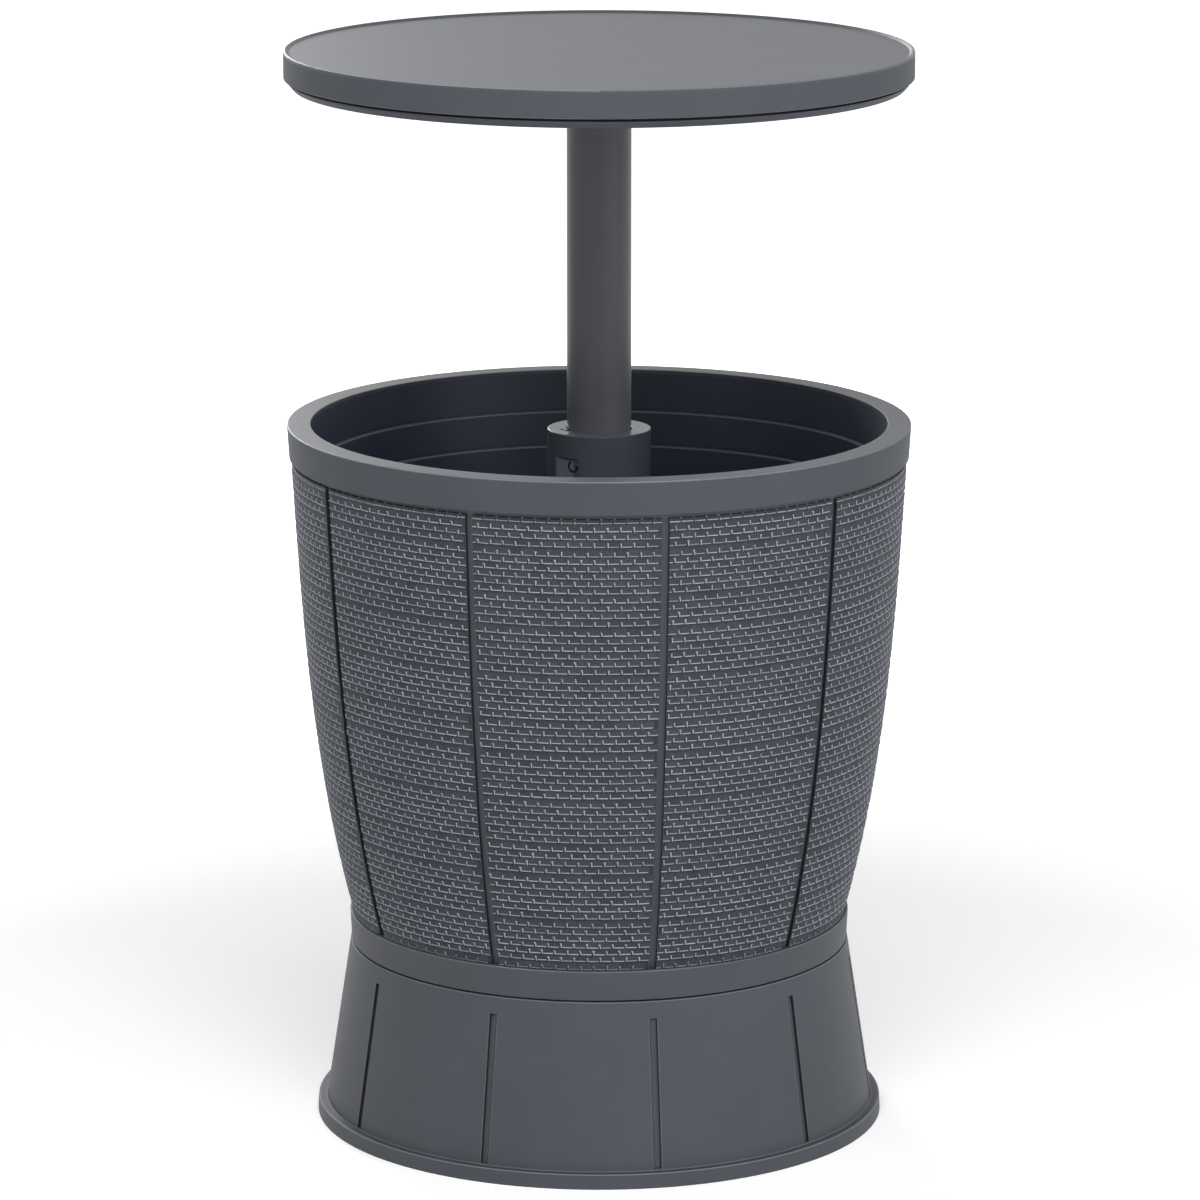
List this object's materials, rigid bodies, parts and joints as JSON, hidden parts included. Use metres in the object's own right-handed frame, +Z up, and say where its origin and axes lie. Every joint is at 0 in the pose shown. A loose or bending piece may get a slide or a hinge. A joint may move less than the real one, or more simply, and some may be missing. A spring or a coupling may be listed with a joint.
{
  "type": "cooler table",
  "caption": "Round patio table whose top lifts on a central post off a barrel-shaped, double-walled ice tub, with a clamp collar and a drain plug.",
  "frame": {"origin": "on the ground, on the vertical axis of table and barrel", "axes": "+Z up along the post; -Y is the front, towards the picture's camera; +X to the right in the picture"},
  "size_m": [0.4952, 0.4952, 0.862],
  "materials": {
    "graphite_plastic": "satin moulded plastic, with a woven texture on the barrel",
    "liner_plastic": "satin moulded plastic",
    "post_plastic": "fine satin plastic",
    "post_coat": "satin powder coat",
    "black_rubber": "soft matt elastomer",
    "zinc_steel": "zinc plated"
  },
  "bodies": {
    "barrel": {"base_skirt": "graphite_plastic", "base_screws": "zinc_steel", "barrel_shell": "graphite_plastic", "rim_ring": "graphite_plastic", "liner_tub": "liner_plastic", "guide_tube": "liner_plastic", "guide_screws": "zinc_steel", "collet": "liner_plastic", "drain_fitting": "liner_plastic", "drain_washer": "black_rubber", "drain_nut": "liner_plastic"},
    "collar": {"collar": "post_plastic"},
    "table": {"post_tube": "post_coat", "guide_shoe": "liner_plastic", "shoe_pin": "zinc_steel", "post_head": "liner_plastic", "head_pin": "zinc_steel", "hub_screws": "zinc_steel", "table_underside": "graphite_plastic", "lid_screws": "zinc_steel", "lid_seal": "black_rubber", "table_top": "graphite_plastic"},
    "drain_plug": {"drain_plug": "black_rubber"}
  },
  "joints": [
    {"name": "table_lift", "type": "slide", "parent": "barrel", "child": "table", "axis": [0, 0, 1], "range_m": [-0.2672, 0]},
    {"name": "collar_turn", "type": "hinge", "parent": "barrel", "child": "collar", "pos_m": [0, 0, 0.53], "axis": [0, 0, 1], "range_deg": [0, 40]},
    {"name": "drain_plug_pull", "type": "slide", "parent": "barrel", "child": "drain_plug", "axis": [0, 0, 1], "range_m": [0, 0.05]}
  ]
}
